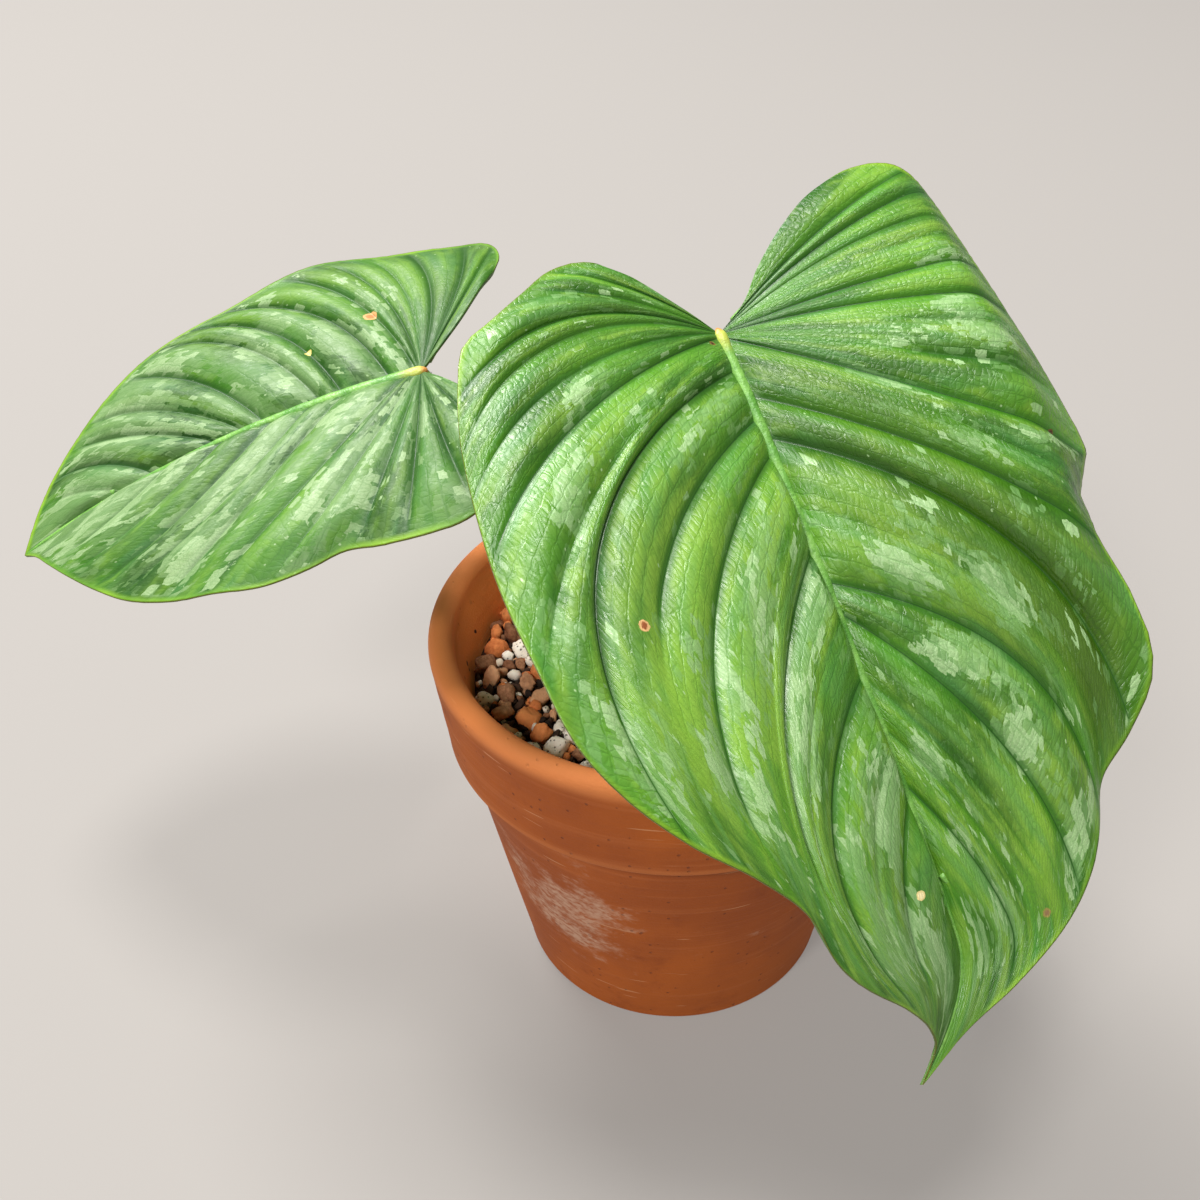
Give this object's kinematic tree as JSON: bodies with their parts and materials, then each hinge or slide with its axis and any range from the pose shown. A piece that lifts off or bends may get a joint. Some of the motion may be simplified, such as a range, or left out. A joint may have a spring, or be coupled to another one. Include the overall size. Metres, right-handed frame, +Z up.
{
  "type": "potted majestic philodendron",
  "caption": "Potted philodendron with heart-shaped, deeply quilted, silver-mottled leaves on arched stalks in a tapered, rimmed clay pot of chunky mix.",
  "frame": {"origin": "centre of the whole plant's outline seen from above, on the surface that the pot stands on", "axes": "+Z up from the pot's base to the leaves, +X to the right and +Y to the back as the front of the plant is seen"},
  "size_m": [0.281, 0.181, 0.2152],
  "materials": {
    "terracotta": "matte",
    "potting_mix": "matte",
    "stem": "satin",
    "leaf_stalk": "satin",
    "leaf_blade": "satin"
  },
  "bodies": {
    "root": {"pot": "terracotta", "potting_mix": "potting_mix", "stem": "stem", "leaf_large_stalk": "leaf_stalk", "leaf_large_blade": "leaf_blade", "leaf_small_stalk": "leaf_stalk", "leaf_small_blade": "leaf_blade"}
  },
  "joints": []
}
